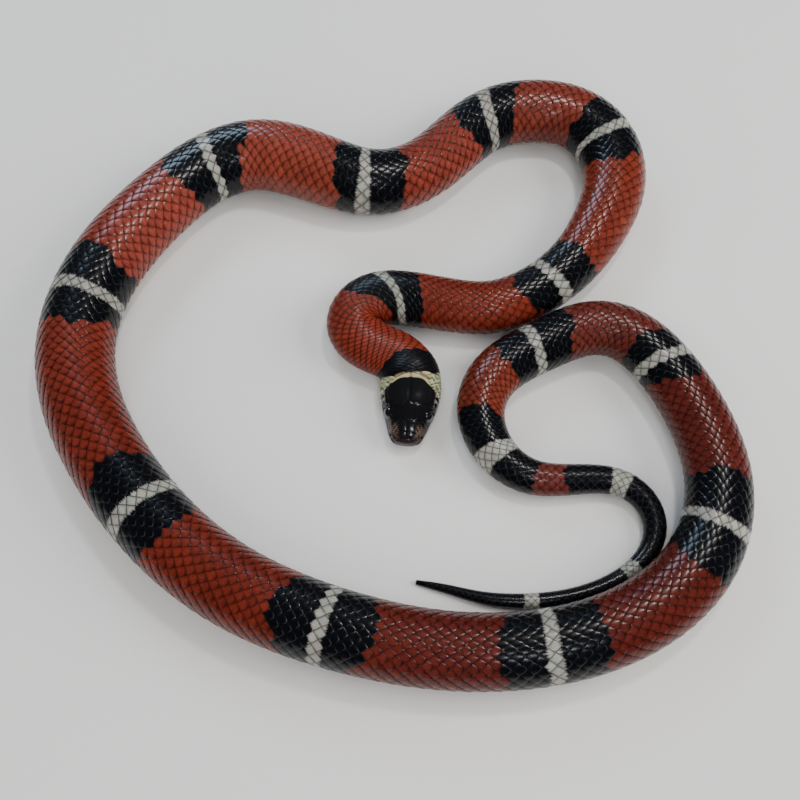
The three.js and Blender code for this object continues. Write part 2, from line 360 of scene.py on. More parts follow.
# By place: the rows on one flank, the length of a scale, the lean of its rounds, and the rows' twist.
SIDE_ROWS = [
    (0, 7.5), (26, 8), (36, 8.6), (50, 9), (88, 9.2), (180, 9.6), (240, 9.5), (330, 9.8), (400, 10.3),
    (500, 10.4), (600, 10.6), (700, 9.8), (840, 9), (888, 8.6), (900, 8.4), (908, 7), (920, 6),
    (930, 6), (938, 5), (946, 5), (956, 4), (975, 4), (985, 3), (1030, 3), (1042, 2), (1060, 2),
]
PITCH = [
    (0, 1.6), (26, 1.6), (33, 1.5), (36, 1.65), (42, 1.9), (48, 2.1), (54, 2.3), (60, 2.6), (68, 3.1),
    (88, 3.1), (96, 3.4), (112, 3.5), (122, 4), (150, 4.65), (180, 4.5), (196, 3.9), (225, 4.4),
    (256, 4.3), (272, 4.5), (296, 4.3), (325, 3.75), (352, 4.3), (376, 4.2), (396, 4.6), (418, 4.75),
    (440, 4.2), (464, 4.25), (480, 3.8), (496, 4.4), (512, 4.65), (552, 4.35), (584, 4), (596, 3.8),
    (630, 4.1), (700, 4.15), (800, 3.9), (848, 3.7), (872, 3.5), (880, 3.15), (888, 2.88), (900, 2.65),
    (935, 3.1), (960, 2.8), (1020, 2.3), (1056, 1.9),
]
LEAN = [
    (0, 0), (22, 0.1), (28, 0.35), (33, 0.5), (36, 0.55), (42, 0.35), (48, 0.1), (54, -0.05),
    (60, -0.15), (67, -0.4), (74, -0.6), (82, -0.42), (90, -0.25), (104, -0.1), (130, -0.1),
    (165, -0.18), (190, -0.17), (205, -0.14), (215, 0), (232, 0.22), (250, 0.4), (270, 0.56),
    (280, 0.52), (296, 0.2), (310, -0.04), (335, -0.14), (354, -0.12), (368, 0.12), (392, 0.3),
    (408, 0.2), (425, 0.15), (440, 0.08), (475, 0.2), (500, 0.05), (640, 0.03), (700, 0.1), (800, 0.2),
    (838, 0.36), (847, 0.3), (856, 0.12), (866, 0.13), (888, 0.26), (900, 0.25), (925, 0), (1056, 0),
]
TWIST = [
    (0, 0), (26, 0), (33, 2), (36, 3), (42, 5.1), (48, 7.2), (54, 8.7), (58, 9.1), (64, 8.8), (70, 7.9),
    (80, 6.2), (88, 4.6), (96, 3.2), (104, 2.8), (205, 2), (222, 0.4), (240, -2.2), (256, -3.6),
    (272, -4.4), (300, -3), (330, -2.4), (470, -2.2), (500, 0), (545, 0.6), (565, -0.6), (600, 1),
    (640, 0), (860, 0), (890, -1.8), (1056, -1.8),
]
# The lean dies away down the flanks, the bow trails both sides, and the lower rows grow wider.
LEAN_REACH = 8.0
BOW = 0.008
BOW_REACH = 12.0
LOW_ROWS_WIDER = 0.24
PLATE_EDGE = 0.79
# A scale's rise to its tip, its dropped edges and its crown, and the depths of the skin below.
RELIEF = 0.22
EDGE_DROP = 0.05
CROWN = 0.15
CROWN_LONG = 0.35
TOP_GAP = 0.04
SKIN_DEPTH = 0.7
LOWEST_ROW = 0.97
FULL_RELIEF_HALF = 9.5
LEAST_RELIEF = 0.12

pitch_line = smooth_line(PITCH)
lean_line = smooth_line(LEAN)
twist_line = smooth_line(TWIST)
fine = np.arange(0, LENGTH, 0.5)
rounds = np.r_[0, np.cumsum(0.5 / pitch_line(fine[:-1] + 0.25))]


def place_of(count):
    return np.interp(count, rounds, fine)


def count_of(place):
    return np.interp(place, fine, rounds)


def side_rows(place):
    return straight_line(SIDE_ROWS, place)


def turned_row(place, row):
    """A row's number counted from the top line, as the rows wind a little round the body."""
    rows_run = np.interp(place, PLACES, SIDE_RUNS) * PLATE_EDGE
    step = rows_run / (side_rows(place) + 0.5) / (1 + LOW_ROWS_WIDER)
    return row + twist_line(place) / step


def row_girth(place, row):
    """The girth of a row's place, by its number."""
    turned = turned_row(place, row)
    t = np.abs(turned) / (side_rows(place) + 0.5)
    share = (t + LOW_ROWS_WIDER * t**3) / (1 + LOW_ROWS_WIDER)
    return np.sign(turned) * np.minimum(share * PLATE_EDGE, LOWEST_ROW)


def leaned(place, girth):
    """Where a round of scales lies off the spine: it leans to one side, and both its sides trail."""
    run = np.interp(place, PLACES, SIDE_RUNS) * np.clip(girth, -1, 1)
    under = np.minimum(2 - np.abs(girth), 1)
    lean = lean_line(place) * LEAN_REACH * np.tanh(run / LEAN_REACH)
    return place + (lean + BOW * run**2 / (1 + (run / BOW_REACH) ** 2)) * under


def unleaned(place, girth):
    """The place where the round of scales at a spot crosses the spine."""
    spine = place
    for _ in range(3):
        spine = spine + place - leaned(spine, girth)
    return spine


def stretch_at(place, girth):
    """How far a bend draws the skin out lengthwise: above 1 on its outer side, below 1 on its inner."""
    side = girth_line(place) / 2 * np.sin(np.minimum(np.abs(girth), 1) * 2.4) * np.sign(girth)
    return 1 - turn(place) * side


def relief_share(place, girth):
    """Less relief where the body is thin or where its skin is squeezed inside a bend."""
    thick = np.clip(girth_line(place) / 2 / FULL_RELIEF_HALF, LEAST_RELIEF, 1)
    return thick * np.clip(stretch_at(place, girth), LEAST_RELIEF, 1) ** 0.7


def put(name, data):
    """A new thing in the scene."""
    thing = bpy.data.objects.new(name, data)
    bpy.context.scene.collection.objects.link(thing)
    return thing


def dressed(mesh, name, tone, uv):
    """Gives a mesh its colours and its map, both known by point, and puts it in the scene."""
    mesh.polygons.foreach_set("use_smooth", np.ones(len(mesh.polygons), bool))
    layer = mesh.color_attributes.new("tone", "FLOAT_COLOR", "POINT")
    opaque = np.column_stack([tone, np.ones(len(tone))])
    layer.data.foreach_set("color", opaque.astype(np.float32).ravel())
    corners = np.zeros(len(mesh.loops), np.int32)
    mesh.loops.foreach_get("vertex_index", corners)
    bake = mesh.uv_layers.new(name="OFBake")
    bake.data.foreach_set("uv", uv[corners].astype(np.float32).ravel())
    return put(name, mesh)


def build_mesh(name, points, quads, tone, uv):
    """A piece of four-sided faces, from points in millimetres."""
    mesh = bpy.data.meshes.new(name)
    mesh.vertices.add(len(points))
    mesh.vertices.foreach_set("co", (points * MM).astype(np.float32).ravel())
    mesh.loops.add(quads.size)
    mesh.loops.foreach_set("vertex_index", quads.astype(np.int32).ravel())
    mesh.polygons.add(len(quads))
    mesh.polygons.foreach_set("loop_start", np.arange(0, quads.size, 4, dtype=np.int32))
    mesh.polygons.foreach_set("loop_total", np.full(len(quads), 4, np.int32))
    mesh.update(calc_edges=True)
    piece = dressed(mesh, name, tone, uv)
    mesh.validate()
    return piece


# Colours

# The red by place, as (red, green, blue).
RED_ALONG = [
    (30, (0.120, 0.0165, 0.0085)), (110, (0.109, 0.0145, 0.007)), (190, (0.120, 0.018, 0.009)),
    (235, (0.126, 0.023, 0.015)), (290, (0.137, 0.023, 0.014)), (350, (0.168, 0.031, 0.0185)),
    (425, (0.151, 0.026, 0.0165)), (500, (0.099, 0.0125, 0.0065)), (590, (0.093, 0.0118, 0.0065)),
    (650, (0.064, 0.0085, 0.0055)), (800, (0.062, 0.009, 0.006)), (830, (0.083, 0.0165, 0.012)),
    (848, (0.083, 0.0165, 0.012)), (866, (0.105, 0.0165, 0.0085)), (893, (0.105, 0.0165, 0.0085)),
    (915, (0.09, 0.0185, 0.0145)),
]
BLACK_TONE = np.array([0.0011, 0.0013, 0.0020])
WHITE_TONE = np.array([0.225, 0.222, 0.195])
CREAM_TONE = np.array([0.37, 0.31, 0.165])
MIDDLE_TAN = np.array([0.33, 0.27, 0.15])
SIDE_CREAM = np.array([0.30, 0.31, 0.19])
FLANK_TONE = np.array([0.22, 0.13, 0.095])
# Pale painted highlight: the glints along the black scales' rear rims.
GLINT_CRESCENT_TONE = np.array([0.026, 0.027, 0.031])
RED, BLACK, WHITE, CREAM = range(4)
# The collar's front and rear edge, as (girth, place), the same on both sides.
COLLAR_FRONT = [(0, 21.4), (0.1, 21.2), (0.2, 20.6), (0.3, 19.3), (0.4, 17.7), (0.5, 16.4), (0.62, 15.4)]
COLLAR_REAR = [(0, 22.9), (0.2, 23.1), (0.32, 22.7), (0.4, 22.8), (0.5, 23.6), (0.7, 25.5)]
PLATES_END = [(0, 22.9), (0.22, 22.9), (0.3, 20.6), (0.4, 18.9), (0.5, 18.4), (0.62, 18.2), (0.8, 19)]
WIDE_RINGS_FROM = 900
RING_REACH, WIDE_RING_REACH = 0.5, 1.0
SPREAD_UP_TO = 0.5


def in_collar(place, girth):
    side = np.abs(girth)
    return (place > straight_line(COLLAR_FRONT, side)) & (place < straight_line(COLLAR_REAR, side))


def collar_fleck(place, girth):
    """How dark the flecks at the sides of the collar are."""
    fleck = np.sin(4.6 * place + 3 * girth) * np.sin(61 * girth + 1.7 * place)
    return 0.8 * smoothstep(fleck, 0.1, 0.5) * smoothstep(np.abs(girth), 0.22, 0.3)


def mark_at(spine_place, girth, ring_place=None):
    """Which marking lies at each spot, by the place where its round of scales crosses the spine.

    The rings may go by a place of their own.
    """
    spine_place, girth = np.broadcast_arrays(np.asarray(spine_place, float), girth)
    ring_place = spine_place if ring_place is None else ring_place
    mark = np.full(spine_place.shape, BLACK)
    low = np.minimum(np.abs(girth), SPREAD_UP_TO)
    for start, end, back_right, back_left, on_right, on_left in RED_BANDS:
        back = np.where(girth > 0, back_right, back_left)
        on = np.where(girth > 0, on_right, on_left)
        mark[(spine_place > start - back * low) & (spine_place < end + on * low)] = RED
    for middle in WHITE_RINGS:
        reach = WIDE_RING_REACH if middle > WIDE_RINGS_FROM else RING_REACH
        mark[np.abs(count_of(ring_place) - count_of(middle)) < reach] = WHITE
    mark[in_collar(leaned(ring_place, girth), girth)] = CREAM
    return mark


def tone_of(mark, place):
    """The colour of a marking at a place."""
    red = np.stack([straight_line([(p, c[k]) for p, c in RED_ALONG], place) for k in range(3)], -1)
    tone = np.where((mark == RED)[..., None], red, BLACK_TONE)
    tone = np.where((mark == WHITE)[..., None], WHITE_TONE, tone)
    return np.where((mark == CREAM)[..., None], CREAM_TONE, tone)


# Scales of the back and flanks
GRID = np.array([-1, -0.55, -0.15, 0.2, 0.5, 0.76, 0.92, 1.0])
OVERLAP = 0.27
ROUNDING = 0.5
FLANK_TUCK = 0.06
JITTER = 0.02
LIFT = 0.012
# How far at least a scale's top, and a plate's, lies inside the solids' surface.
LEAST_DEPTH = 0.02
PLATE_DEPTH = 0.03
LARGE_PITCH = 4.3
# How far a marking follows the pattern within a scale: 0 gives whole scales, 1 a straight edge.
RING_CUT = 0.72
BAND_CUT = 0.4
GAPS_FROM = 1.12
UV_PATCH = 0.0015
# Where the coat lies: the most rows on a flank, its first place, and the room it keeps at its edges.
MOST_ROWS = 20
COAT_FROM = 16
BARE_TIP = 3
ROW_ROOM = 0.42
CAP_GAP = 0.4
NECK_FADE = (70, 95)
TAIL_FADE = (880, 930)


def scale_pattern():
    """One scale: its points as shares along the two slanting rows that cross in it, and its faces."""
    n = len(GRID)
    u, v = np.meshgrid(GRID, GRID, indexing="ij")
    corner = np.clip(u, 0, 1) * np.clip(v, 0, 1)
    flank = np.clip(-u * v, 0, 1)
    ru = u * np.sqrt(1 - 0.5 * v**2 * ROUNDING * corner) * (1 - FLANK_TUCK * flank * np.abs(v))
    rv = v * np.sqrt(1 - 0.5 * u**2 * ROUNDING * corner) * (1 - FLANK_TUCK * flank * np.abs(u))
    a = 0.5 - (1 - ru) / 2 * (1 + OVERLAP)
    b = 0.5 - (1 - rv) / 2 * (1 + OVERLAP)
    bevel_u, bevel_v = (np.clip((w - 0.7) / 0.3, 0, 1) ** 2 for w in (u, v))
    height = RELIEF * (a + b) / 2 - CROWN * (a - b) ** 2 - CROWN_LONG * ((a + b) / 2) ** 2
    height -= EDGE_DROP * (bevel_u + bevel_v * (1 - 0.5 * bevel_u))
    height -= height.max()
    index = np.arange(n * n).reshape(n, n)
    rim = np.r_[index[0, :-1], index[:-1, -1], index[-1, :0:-1], index[:0:-1, 0]]
    m = len(rim)
    wall = n * n + np.arange(2 * m).reshape(2, m)
    faces = np.vstack([faces_of(index, False)[:, FLIPPED], np.roll(faces_of(wall), -1, 1)])
    return dict(
        a=a.ravel(), b=b.ravel(), height=height.ravel(), u=u.ravel(), v=v.ravel(), rim=rim,
        faces=faces, points=n * n + 2 * m,
    )


PATTERN = scale_pattern()


def cap_end(girth):
    """Where the head's plates end."""
    return straight_line(PLATES_END, np.abs(girth))


def dorsal_scales():
    """The middles of all scales as (count, row)."""
    spots = []
    for row in range(-MOST_ROWS, MOST_ROWS + 1):
        counts = np.arange(int(count_of(COAT_FROM)), int(rounds[-1])) + 0.5 * (abs(row) % 2)
        spine = place_of(counts)
        girth = row_girth(spine, row)
        keep = np.abs(turned_row(spine, row)) <= side_rows(spine) + ROW_ROOM
        keep &= spine < LENGTH - BARE_TIP
        keep &= leaned(spine, girth) > cap_end(girth) + CAP_GAP
        spots += [(count, row) for count in counts[keep]]
    return np.array(spots, float)


def scale_tone(spine, place, girth, mid_spine, mid_girth):
    """The colours of the scales' points: the markings with their dark tips, dark rims and seams that are
    partly dark skin and partly painted shade, painted shade under the tips ahead, and painted glints on
    the black scales' rims.
    """
    p = PATTERN
    n = len(mid_spine)
    shift = rng.normal(0, 0.14, (n, 1)) * pitch_line(mid_spine)
    spot = mid_spine + shift + BAND_CUT * (spine - mid_spine)
    ring_spot = mid_spine + 0.3 * shift + RING_CUT * (spine - mid_spine)
    mark = mark_at(spot, mid_girth, ring_spot)
    black, pale = mark == BLACK, np.isin(mark, (WHITE, CREAM))
    middle = leaned(mid_spine, mid_girth)
    on_neck = 1 - smoothstep(middle, *NECK_FADE)
    on_tail = smoothstep(middle, *TAIL_FADE)

    tone = tone_of(mark, spot) * (1 + 0.22 * on_neck * (mark == RED))[..., None]
    tone *= np.exp(rng.normal(0, 0.07, (n, 1, 1)))
    tone *= np.exp(rng.normal(0, 0.025, (n, 1, 3)))
    side_cream = SIDE_CREAM * (1 - collar_fleck(place, girth))[..., None]
    tone = mixed(tone, side_cream, (mark == CREAM) * smoothstep(np.abs(girth), 0.24, 0.32))
    flank = FLANK_TONE * np.where(black, 0.06, 1)[..., None]
    low = smoothstep(np.abs(mid_girth), 0.66, 0.84)
    tone = mixed(tone, flank, low * np.where(mark == WHITE, 0.1, 0.3))

    # The most and the mean of both ways along the scale: 1 at its rear rims and at its tip.
    most, mean = np.maximum(p["u"], p["v"]), (p["u"] + p["v"]) / 2
    # The tips' darkness is the scales' own colour, stronger on the neck; the dark rims are partly dark
    # skin and partly painted shade in the seams, wider on the neck.
    thin_rim, wide_rim = smoothstep(most, 0.78, 0.97), smoothstep(most, 0.62, 0.92)
    rim = thin_rim + (wide_rim - thin_rim) * on_neck
    tip = smoothstep(mean + 0.35 * most, 0.55, 1.15)
    dark = np.maximum((0.72 + 0.2 * on_neck) * tip, (0.6 + 0.2 * on_neck) * rim)
    dark = np.where(pale, 0.82 * smoothstep(most, 0.7, 0.96), dark)
    # Painted shade at the front of each scale, under the tips of the scales ahead; on black scales that
    # front edge is made lighter instead.
    front = np.clip(-0.4 - np.minimum(p["a"], p["b"]), 0, 0.1) / 0.1
    front = np.where(black, -0.8, 0.4) * front
    length = np.clip((p["a"] + p["b"]) / 2, -0.5, 0.5)
    shade = (1 - dark) * (1 - front) * (1.06 - 0.34 * length * np.where(pale, 0.3, 1))
    # Painted highlight: pale crescents along the black scales' rear rims, near their tips, and all along
    # the rims on the tail.
    painted_glint = smoothstep(most, 0.86, 0.97) * np.maximum(smoothstep(mean, 0.4, 0.85), 0.6 * on_tail)
    return mixed(tone * shade[..., None], GLINT_CRESCENT_TONE, painted_glint * black)


def scale_piece(name, spots, start, end):
    """One length of the coat, from the (count, row) of its scales."""
    p = PATTERN
    n = len(spots)
    jitter = rng.normal(0, JITTER, (n, 2))
    a = p["a"] + jitter[:, :1]
    b = p["b"] + jitter[:, 1:]
    mid_spine = place_of(spots[:, :1])
    mid_girth = row_girth(mid_spine, spots[:, 1:])
    # On the outer side of a tight bend the scales keep their length, and the skin shows between them.
    kept = np.maximum(stretch_at(mid_spine, mid_girth) / GAPS_FROM, 1) ** -0.8
    spine = place_of(spots[:, :1] + (a + b) / 2 * kept)
    girth = row_girth(spine, spots[:, 1:] + (a - b))
    place = leaned(spine, girth)
    middle = leaned(mid_spine, mid_girth)
    share = relief_share(middle, mid_girth)
    small = np.minimum(np.sqrt(pitch_line(mid_spine) / LARGE_PITCH), 1)
    height = (p["height"] + rng.normal(0, LIFT, (n, 1))) * share * small - TOP_GAP
    top = raised(place, girth, np.minimum(height, -LEAST_DEPTH))
    rim = p["rim"]
    deep = np.broadcast_to(-SKIN_DEPTH * share - LEAST_DEPTH, (n, len(rim)))
    under = raised(place[:, rim], girth[:, rim], deep)
    points = np.concatenate([top, top[:, rim], under], 1).reshape(-1, 3)
    faces = (p["faces"] + (np.arange(n) * p["points"])[:, None, None]).reshape(-1, 4)

    tone = scale_tone(spine, place, girth, mid_spine, mid_girth)
    # Painted shade: the walls under each scale's rim are darker, and darker still down towards the skin.
    edge = tone[:, rim]
    colours = np.concatenate([tone, edge * 0.45, edge * 0.2], 1).reshape(-1, 3)
    local = np.column_stack([p["u"], p["v"]])
    local = np.vstack([local, local[rim], local[rim] * 1.05])
    root = np.hstack([(middle - start) / (end - start) * 0.96 + 0.02, mid_girth / 4 + 0.5])
    uv = (root[:, None] + local * UV_PATCH).reshape(-1, 2)
    return build_mesh(name, points, faces, colours, uv)


# Plates of the belly and the tail's underside
PLATE_GRID = np.array([-0.75, -0.35, 0.1, 0.35, 0.46, 0.5])
ACROSS = 27
BELLY_TONE = np.array([0.56, 0.47, 0.38])
BELLY_PALE = {RED: 0.55, BLACK: 0.05, WHITE: 0.2, CREAM: 0.2}
BELLY_REACH = 2 - (PLATE_EDGE - 0.05)
PAIR_GAP = 0.02


def belly_plate(count, low, high, halves):
    """The points of one plate, between two shares of the way across, and its own map."""
    across = np.linspace(-1, 1, ACROSS)
    along = PLATE_GRID[:, None]
    side = low + (across + 1) / 2 * (high - low)
    if halves:
        edge = np.minimum(1, (1 - np.abs(across)) / 0.14)
        bulge = 0.25 * (1 - across**2) - 0.1
    else:
        edge = np.minimum(1, (1 - np.abs(side)) / 0.05)
        bulge = 0.07 * (1 - side**2)
    counts = count + along + bulge * (0.5 + along)
    girth = np.where(side < 0, -1, 1) * (2 - np.abs(side) * BELLY_REACH)
    girth = np.broadcast_to(girth, counts.shape)
    place = leaned(place_of(counts), girth)
    share = relief_share(place, np.zeros_like(place))
    bevel = np.clip((along - 0.3) / 0.2, 0, 1) ** 2
    height = (0.34 * along - 0.17 - 0.09 * bevel - 0.12 * (1 - edge**0.5)) * share - TOP_GAP
    top = raised(place, girth, np.minimum(height, -PLATE_DEPTH))
    under = raised(place[-1], girth[-1], -SKIN_DEPTH * share[-1] - LEAST_DEPTH)
    local = np.stack([along + np.zeros(ACROSS), side + np.zeros_like(along)], -1).reshape(-1, 2)
    local = np.vstack([local, local[-ACROSS:], local[-ACROSS:]])
    return np.vstack([top.reshape(-1, 3), top[-1], under]), local


def belly_tone(count):
    """One plate's colour: its marking, paler on the belly."""
    here = place_of(count)
    mark = mark_at(np.array([here + rng.normal(0, 0.4)]), 1.0)
    tone = tone_of(mark, np.array([here]))[0]
    return mixed(tone, BELLY_TONE, BELLY_PALE[int(mark[0])]) * np.exp(rng.normal(0, 0.05))


def belly_piece(name, first, last, halves):
    """Plates across the belly, one for each round of scales, or a pair of them under the tail."""
    size = len(PLATE_GRID) * ACROSS
    top = np.arange(size).reshape(-1, ACROSS)
    wall = size + np.arange(2 * ACROSS).reshape(2, ACROSS)
    plate = np.vstack([faces_of(top, False), faces_of(wall, False)])
    shade = np.repeat(np.r_[np.where(PLATE_GRID < -0.3, 0.6, 1.0), 0.5, 0.25], ACROSS)
    blocks, uvs, colours = [], [], []
    for count in range(first, last):
        for low, high in [(-1, PAIR_GAP), (-PAIR_GAP, 1)] if halves else [(-1, 1)]:
            points, local = belly_plate(count, low, high, halves)
            blocks.append(points)
            uvs.append((place_of(count) / LENGTH, (low + high) / 4 + 0.5) + local * UV_PATCH)
            colours.append(belly_tone(count) * shade[:, None])
    starts = np.arange(len(blocks)) * len(shade)
    faces = (plate + starts[:, None, None]).reshape(-1, 4)
    return build_mesh(name, np.vstack(blocks), faces, np.vstack(colours), np.vstack(uvs))


# The skin, with the head's plates

# Each plate's corners as (place, share of the way from the spine down to the lip).
PLATES = {
    "internasal": [(1.3, 0), (3.4, 0), (3.5, 0.20), (3.0, 0.42), (1.9, 0.44), (0.95, 0.38)],
    "prefrontal": [
        (3.4, 0), (6.7, 0), (6.9, 0.19), (6.9, 0.38), (6.3, 0.46), (4.7, 0.47), (3.0, 0.42),
        (3.5, 0.20),
    ],
    "supraocular": [
        (6.9, 0.19), (6.9, 0.38), (7.8, 0.46), (9.0, 0.53), (12.4, 0.53), (13.0, 0.42), (12.3, 0.125),
        (9.5, 0.19),
    ],
    "parietal": [
        (13.7, 0), (12.3, 0.125), (13.0, 0.42), (14.0, 0.55), (16.5, 0.57), (19.0, 0.53), (21.0, 0.42),
        (22.2, 0.2), (22.8, 0),
    ],
    "nasal": [(0.95, 0.38), (1.9, 0.44), (3.0, 0.42), (4.7, 0.47), (4.6, 0.86), (2.4, 0.86), (0.8, 0.84)],
    "loreal": [(4.7, 0.47), (6.3, 0.46), (6.9, 0.5), (6.9, 0.84), (4.6, 0.86)],
    "preocular": [
        (6.3, 0.46), (6.9, 0.38), (7.8, 0.46), (9.0, 0.53), (9.0, 0.86), (6.9, 0.84), (6.9, 0.5),
    ],
    "postocular_high": [(12.4, 0.53), (13.0, 0.42), (14.0, 0.55), (14.6, 0.67), (12.7, 0.70)],
    "postocular_low": [(12.7, 0.70), (14.6, 0.67), (14.8, 0.82), (12.6, 0.88)],
    "temporal_1": [(14.0, 0.55), (16.5, 0.57), (18.0, 0.55), (18.3, 0.67), (14.6, 0.67)],
    "temporal_2": [(14.6, 0.67), (18.3, 0.67), (18.0, 0.81), (14.8, 0.82)],
    "temporal_3": [(18.0, 0.55), (19.0, 0.53), (21.0, 0.42), (21.6, 0.55), (21.4, 0.64), (18.3, 0.67)],
    "temporal_4": [(18.3, 0.67), (21.4, 0.64), (21.4, 0.79), (18.0, 0.81)],
    "labial_1": [(0.8, 0.84), (2.4, 0.86), (2.3, 1.02), (0.5, 1.02)],
    "labial_2": [(2.4, 0.86), (4.6, 0.86), (4.4, 1.02), (2.3, 1.02)],
    "labial_3": [(4.6, 0.86), (6.9, 0.84), (6.8, 1.02), (4.4, 1.02)],
    "labial_4": [(6.9, 0.84), (9.0, 0.86), (9.8, 0.88), (9.8, 1.02), (6.8, 1.02)],
    "labial_5": [(9.8, 0.88), (12.6, 0.88), (13.0, 1.02), (9.8, 1.02)],
    "labial_6": [(12.6, 0.88), (14.8, 0.82), (15.6, 0.82), (16.2, 1.02), (13.0, 1.02)],
    "labial_7": [(15.6, 0.82), (18.0, 0.81), (21.4, 0.79), (20.8, 1.02), (16.2, 1.02)],
}
FRONTAL = [
    (6.7, 0), (6.9, 0.19), (9.5, 0.19), (12.3, 0.125), (13.7, 0), (12.3, -0.125), (9.5, -0.19),
    (6.9, -0.19),
]
ROSTRAL = [(-1, -0.4), (1.3, 0), (0.95, 0.38), (0.8, 0.84), (0.5, 1.02), (-1, 1.02)]
FRONTAL_NUMBER, ROSTRAL_NUMBER, NUMBERS = 90, 91, 200
# The edges of the rostral plate that are no seams.
ROSTRAL_OPEN = (0, 1, 5)
# The head's relief: a plate's rise, the grooves round it, and the depths of all that lies lower.
PLATE_RISE = 0.05
GROOVE = 0.13
GROOVE_WIDTH = 0.15
BARE_DEPTH = 0.30
JAW_DEPTH = 0.08
ORBIT_DEPTH = 2.2
NOSTRIL_DEPTH = 0.6
BASE_DEPTH = 0.08
BEHIND_DEPTH = 0.62
JAW_PLATE = 2.3
FIRST_RUN = 0.3


def inside(points, polygon):
    """Which points lie in a polygon."""
    x, y = points[:, 0], points[:, 1]
    result = np.zeros(len(points), bool)
    last = polygon[-1]
    for corner in polygon:
        (ax, ay), (bx, by) = last, corner
        crosses = (ay > y) != (by > y)
        with np.errstate(divide="ignore", invalid="ignore"):
            cut = (bx - ax) * (y - ay) / (by - ay) + ax
        result ^= crosses & (x < cut)
        last = corner
    return result


def edge_distance(points, polygon, skip=()):
    """Each point's distance to the nearest edge of a polygon, but for the skipped edges."""
    best = np.full(len(points), 99.0)
    corners = np.array(polygon)
    for k, end in enumerate(corners):
        if k in skip:
            continue
        start = corners[k - 1]
        way = end - start
        t = np.clip(((points - start) @ way) / max(way @ way, 1e-9), 0, 1)
        best = np.minimum(best, np.linalg.norm(points - start - t[:, None] * way, axis=1))
    return best


def lip_run(place):
    """The way in mm round the head from its top to the upper lip."""
    counts = np.linspace(RING_TOP, LIP_HIGH, 61)
    side, height = head_ring(np.asarray(place)[:, None], counts[None])
    return np.hypot(np.diff(side), np.diff(height)).sum(1)


LIP_PLACES = np.linspace(0.05, 23, 93)
LIP_RUNS = lip_run(LIP_PLACES)


def run_to_lip(place):
    return np.interp(np.maximum(place, FIRST_RUN), LIP_PLACES, LIP_RUNS)


def head_field(place, c, right):
    """For spots on the upper head: the plate's number, and the distance to its edge in mm."""
    warp_p = 0.10 * np.sin(1.1 * place + 2.4 * right) * np.cos(5.0 * c + right)
    warp_c = 0.008 * np.sin(0.9 * place + 1.7 * right) * smoothstep(c, 0, 0.15)
    points = np.column_stack([place + warp_p, (c + warp_c) * run_to_lip(place)])
    number = np.full(len(points), -1)
    distance = np.zeros(len(points))
    plates = [(k, polygon, ()) for k, polygon in enumerate(PLATES.values())]
    plates += [(FRONTAL_NUMBER, FRONTAL, ()), (ROSTRAL_NUMBER, ROSTRAL, ROSTRAL_OPEN)]
    for k, polygon, skip in plates:
        shape = [(p, share * float(run_to_lip(p))) for p, share in polygon]
        here = inside(points, shape) & (number < 0)
        number[here] = k
        distance[here] = edge_distance(points[here], shape, skip)
    return number, distance


# The tones of the head.
CAP_TONE = np.array([0.0033, 0.0034, 0.0039])
SNOUT_BROWN = np.array([0.055, 0.031, 0.021])
SNOUT_PALE = np.array([0.12, 0.10, 0.08])
ROSTRAL_TONE = np.array([0.016, 0.008, 0.011])
LABIAL_TONE = np.array([0.2, 0.2, 0.18])
JAW_TONE = np.array([0.012, 0.011, 0.012])
CHIN_TONE = np.array([0.22, 0.19, 0.15])
IRIS_TONE = np.array([0.012, 0.006, 0.004])
# The skin between and under the scales is this share of the markings' own brightness: partly its own
# darker tone and partly painted shade in the gaps.
BETWEEN_SCALES_DARK_AND_SHADE = 0.06


def head_tone(place, c, right, number, distance):
    """The head's colours: a glossy black cap with brown patches beside the snout."""
    tone = CAP_TONE * rng.uniform(0.8, 1.25, NUMBERS)[number][..., None]
    patch = smoothstep(place, 0.8, 1.8) * (1 - smoothstep(place, 4.6, 6.6))
    patch = patch * smoothstep(c, np.where(right > 0, 0.24, 0.3), 0.42) * (1 - smoothstep(c, 0.6, 0.86))
    blotch = np.sin(3.1 * place + 1.3 * right + 2 * np.sin(9 * c)) * np.sin(19 * c + 1.6 * place + right)
    tone = mixed(tone, SNOUT_BROWN, patch * (0.25 + 0.75 * smoothstep(blotch, -0.9, 0.7)))
    spark = np.sin(7.3 * place + 4 * c) * np.sin(31 * c - 2.9 * place + 2 * right)
    tone = mixed(tone, SNOUT_PALE, patch * smoothstep(spark, 0.1, 0.8) * smoothstep(place, 2.2, 3.4))
    tone = mixed(tone, ROSTRAL_TONE, number == ROSTRAL_NUMBER)
    labial = smoothstep(c, 0.60, 0.68) * smoothstep(place, 12.5, 14) * (1 - smoothstep(place, 20, 22))
    fleck = smoothstep(np.sin(3.1 * place + right) + 0.8 * np.sin(23 * c), -0.6, 0.6)
    tone = mixed(tone, LABIAL_TONE, 0.85 * labial * fleck)
    return tone * (1 - 0.4 * bell(distance, 0.12) * (number >= 0))[..., None]


def with_collar(tone, place, girth, distance):
    """The cream collar behind the cap, with tan plates in the middle and dark flecks at its sides."""
    side = np.abs(girth)
    there = smoothstep(place - straight_line(COLLAR_FRONT, side) + 0.12 * np.sin(30 * side), -0.15, 0.15)
    cream = mixed(CREAM_TONE, MIDDLE_TAN, 1 - smoothstep(side, 0.12, 0.24))
    cream = mixed(cream, SIDE_CREAM, smoothstep(side, 0.24, 0.4))
    dark = (1 - collar_fleck(place, girth)) * (1 - 0.6 * bell(distance, 0.14))
    return mixed(tone, cream * dark[..., None], there)


